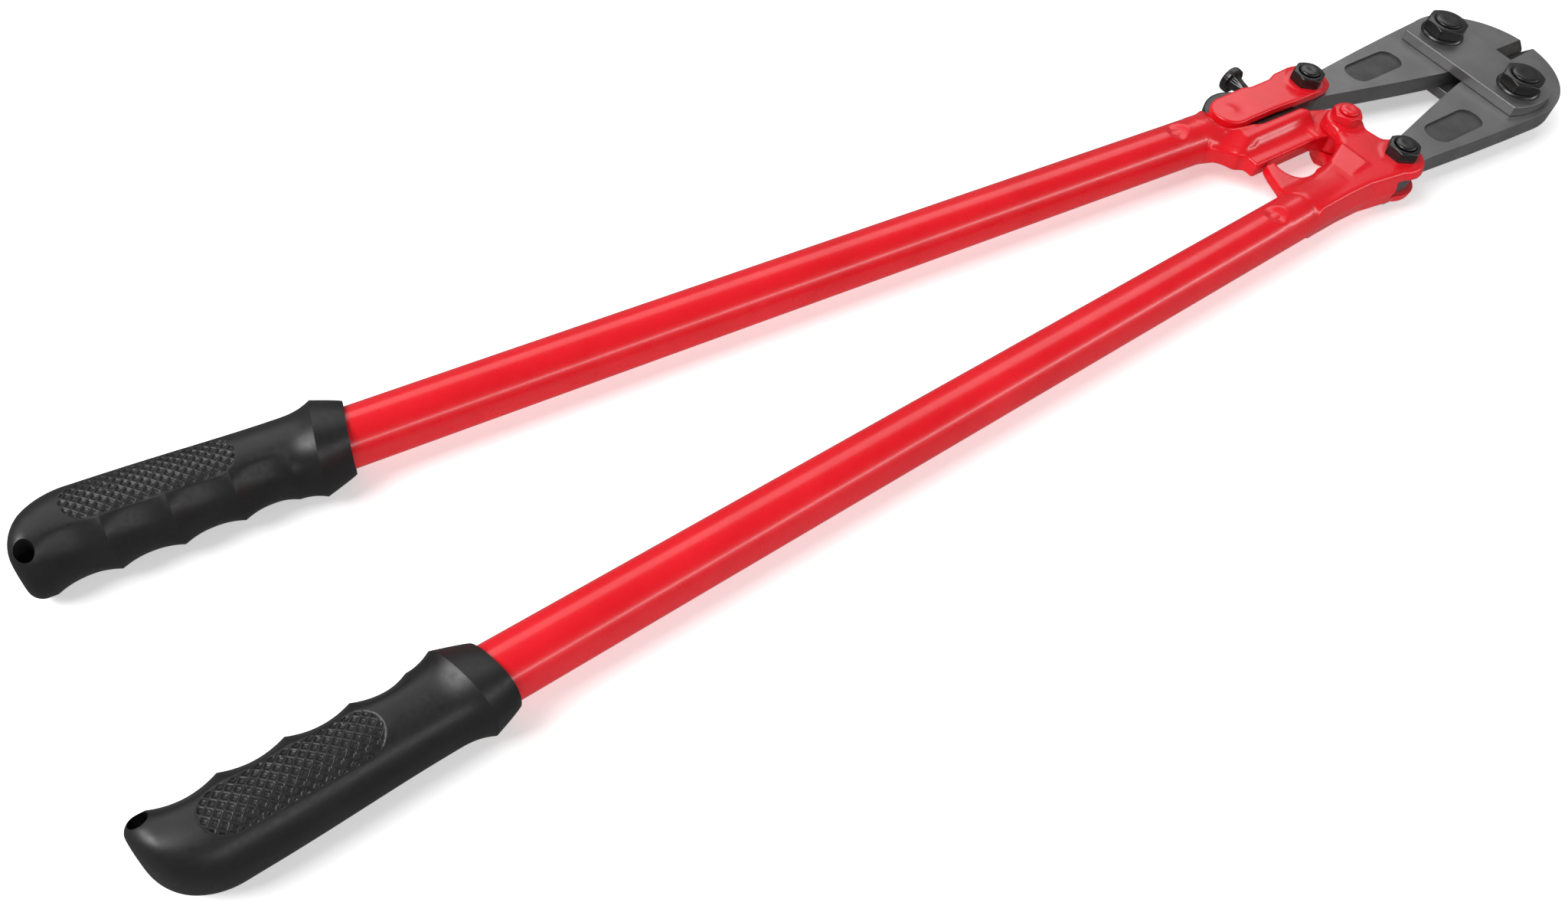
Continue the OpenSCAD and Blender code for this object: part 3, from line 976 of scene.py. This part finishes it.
def head_right():
    """Head of the right handle, drawn on the left: neck, fork, stop and raised pad."""
    f = Field((-260, -13, -16), (-108, 57, 16), 0.6)
    outline = f.plan(
        [(-214, 49.5), (-200, 48.6), (-180, 47.6), (-160, 47.6), (-146, 49.6), (-136, 51),
         (-122, 36), (-120.5, 27), (-123.4, 21), (-124.8, 13), (-123.6, 8), (-122, 3),
         (-132, -6), (-140.8, -4.5), (-144.6, 6), (-149, 12), (-157, 17), (-167, 21),
         (-178, 24), (-192, 26), (-214, 28)])
    outline = near(outline, f.round((TAIL_BOLT[0] - 0.5, TAIL_BOLT[1] + 0.3), 15.2), 2.0)
    outline = near(outline, f.round(CENTRE_BOLT, 10.8), 1.5)
    forging = f.slab(outline - 2.0, HEAD_HALF, 2.4, draft=0.18)
    forging = both(forging, f.from_axis - 13.2 - 1.3 * np.maximum(77 - f.along, 0), 1.0)
    lug = f.slab(
        f.plan([(-197, 0.5), (-188, 0.5), (-160, 16), (-165, 30), (-207, 30), (-204, 18),
                (-200.5, 8)]), 3.5, 1.2)
    lug = both(lug, -f.round((-178, 7.5), 13.0), 1.0)
    neck = f.neck(46, TUBE_START, 13.95, 1.5)
    body = near(near(forging, neck, 4.0), lug, 6.0)
    seat = f.slab(f.round(CENTRE_BOLT, 10.6), HEAD_HALF + 0.6, 0.5)
    tail_seat = f.slab(f.round(TAIL_BOLT, 11.6), HEAD_HALF, 0.3)
    ramp = f.height - HEAD_HALF - 0.1 - 1.1 * (f.x + 167) / 16
    pad = both(f.plan([(-168, 21), (-151, 14), (-150, 35), (-167, 37)]), ramp, 0.3)
    body = near(near(body, seat, 3.0), pad, 0.6)
    body = near(body, tail_seat, 1.2)
    body = f.softened(body, 2)
    body = np.minimum(body, f.rod(BORE_R - 0.05, TUBE_START - 4, SPIGOT_END, 0.5))
    slot = np.minimum(f.round(TAIL_BOLT, 15.0), f.round(CENTRE_BOLT, 17.0))
    slot = np.minimum(slot, f.plan(
        [(-170, -20), (-108, -20), (-108, 62), (-137, 62), (-139, 44), (-141, 30),
         (-150, 21), (-170, 18)]))
    slot = np.maximum(slot, f.height - SLOT_HALF)
    body = both(body, -slot, 0.5)
    body = np.maximum(body, -f.round(TAIL_BOLT, TAIL_BORE_R))
    body = np.maximum(body, -f.round(CENTRE_BOLT, CENTRE_BORE_R))
    return f.surface(body)


def heads():
    piece("forged_head_left", head_left(), "left_handle", "red_paint", "head_left", crease=60)
    shape = mirrored(*head_right())
    piece("forged_head_right", shape, "right_handle", "red_paint", "head_right", crease=60)


heads()


# ------------------------------------------------------------------ adjuster


def link_plate():
    """Upper link plate: soft edges, a raised seat for the nut and a low mound over its pin."""
    f = Field((-204, 20, 4.5), (-106, 58, 14), 0.5)
    outline = f.plan(
        [(-189, 28), (-189, 52), (-166, 52.3), (-160, 50.4), (-144, 50.6), (-137, 53),
         (-124, 53.4), (-124, 26.6), (-143, 27.0), (-160, 28.0)])
    outline = near(outline, f.round(LINK_PIN, 12.0), 1.0)
    tail = both(f.round((TAIL_BOLT[0] + 1.5, TAIL_BOLT[1] + 0.3), 15.0), 26.6 - f.y, 3.0)
    outline = near(outline, tail, 1.0)
    top = HEAD_HALF - 0.3
    body = both(outline, np.abs(f.z - (SLOT_HALF + top) / 2) - (top - SLOT_HALF) / 2, 1.6)
    seat = both(f.round(TAIL_BOLT, 11.8), np.abs(f.z - 10) - 2.0, 0.4)
    body = near(body, seat, 1.5)
    from_pin = np.hypot(f.x - LINK_PIN[0], f.y - LINK_PIN[1])
    mound = 0.45 * np.exp(-(from_pin / 4.4) ** 2)
    body = np.where(f.z > 9, body - mound, body)
    body = f.softened(body, 1)
    body = np.maximum(body, -f.round(TAIL_BOLT, TAIL_BORE_R))
    return f.surface(body)


def adjuster():
    upper = link_plate()
    piece("link_top_look", upper, "adjuster_link", "red_paint", "link_plate_top", crease=60)
    points, faces = upper
    lower = (points * (1, 1, -1), [tuple(reversed(q)) for q in faces])
    piece("link_bottom_look", lower, "adjuster_link", "red_paint", "link_plate_bottom",
          crease=60)
    top = HEAD_HALF - 0.6
    pin = rounded([(0.3, -top), (6, -top), (6, top), (0.3, top)], 0.5)
    piece("link_pin_look", lathe(pin, *LINK_PIN), "adjuster_link", "red_paint", "link_pin")


def thumb_screw():
    """Screw across the cam, with a dished and fluted thumb head."""
    a = around(120)
    profile = [
        (0.3, 22.6), (2.4, 22.6), (3.0, 23.3), (3.0, 58.0), (3.5, 60.2), (4.4, 64.0),
        (5.0, 66.6), (5.6, 68.3), (6.5, 68.3), (6.9, 67.5), (7.9, 67.6), (8.0, 68.4),
        (8.0, 71.2), (7.6, 72.0), (6.6, 72.0), (5.8, 71.3), (3.0, 71.0), (0.3, 70.9),
    ]
    rings = []
    for r, y in rounded(profile, 0.5, 2):
        flute = 0.7 * eased((r - 3.1) / 1.6) * (y < 68.0) * (y > 58) * (r < 5.8)
        knurl = 0.12 * (r > 7.7)
        radius = r - flute * (0.5 + 0.5 * np.cos(8 * a)) - knurl * (0.5 + 0.5 * np.cos(24 * a))
        x = SCREW_X + radius * np.sin(a)
        rings.append(np.c_[x, np.full(len(a), y), radius * np.cos(a)])
    piece("thumb_screw_look", stack(rings), "thumb_screw", "black_oxide", "lock_screw")


def cam():
    """Black cam plate between the links, with the boss that takes the screw."""
    f = Field((-204, 21, -6), (-140, 63, 8), 0.5)
    front = f.plan([(-180, 23), (-143, 23), (-143, 49.9), (-180, 49.9)])
    plate = near(f.round((-180, 38.5), 21.5), front, 1.0)
    plate = np.maximum(plate, f.plan([(-202, 22.9), (-142, 22.9), (-142, 62.9), (-202, 62.9)]))
    # nothing behind the pin, where the left head's neck is
    behind = f.plan([(-219, 10), (-189, 10), (-189, 40), (-219, 40)])
    plate = np.maximum(plate, -np.maximum(behind, -f.round(LINK_PIN, 14)))
    plate = both(plate, np.abs(f.z - 2.975) - 2.875, 0.8)
    boss = both(f.plan([(-158.5, 24.5), (-145.5, 24.5), (-145.5, 51.5), (-158.5, 51.5)]),
                np.abs(f.z) - 4.6, 1.2)
    body = f.softened(near(plate, boss, 1.0), 1)
    shaft = np.hypot(f.x - SCREW_X, f.z) - SCREW_BORE_R
    body = np.maximum(body, -shaft)
    body = np.maximum(body, -f.round(LINK_PIN, LINK_BORE_R))
    piece("cam_look", f.surface(body), "cam", "black_oxide", "adjuster_cam", crease=50)


adjuster()
thumb_screw()
cam()


# ------------------------------------------------------------------ view layer update

bpy.context.view_layer.update()
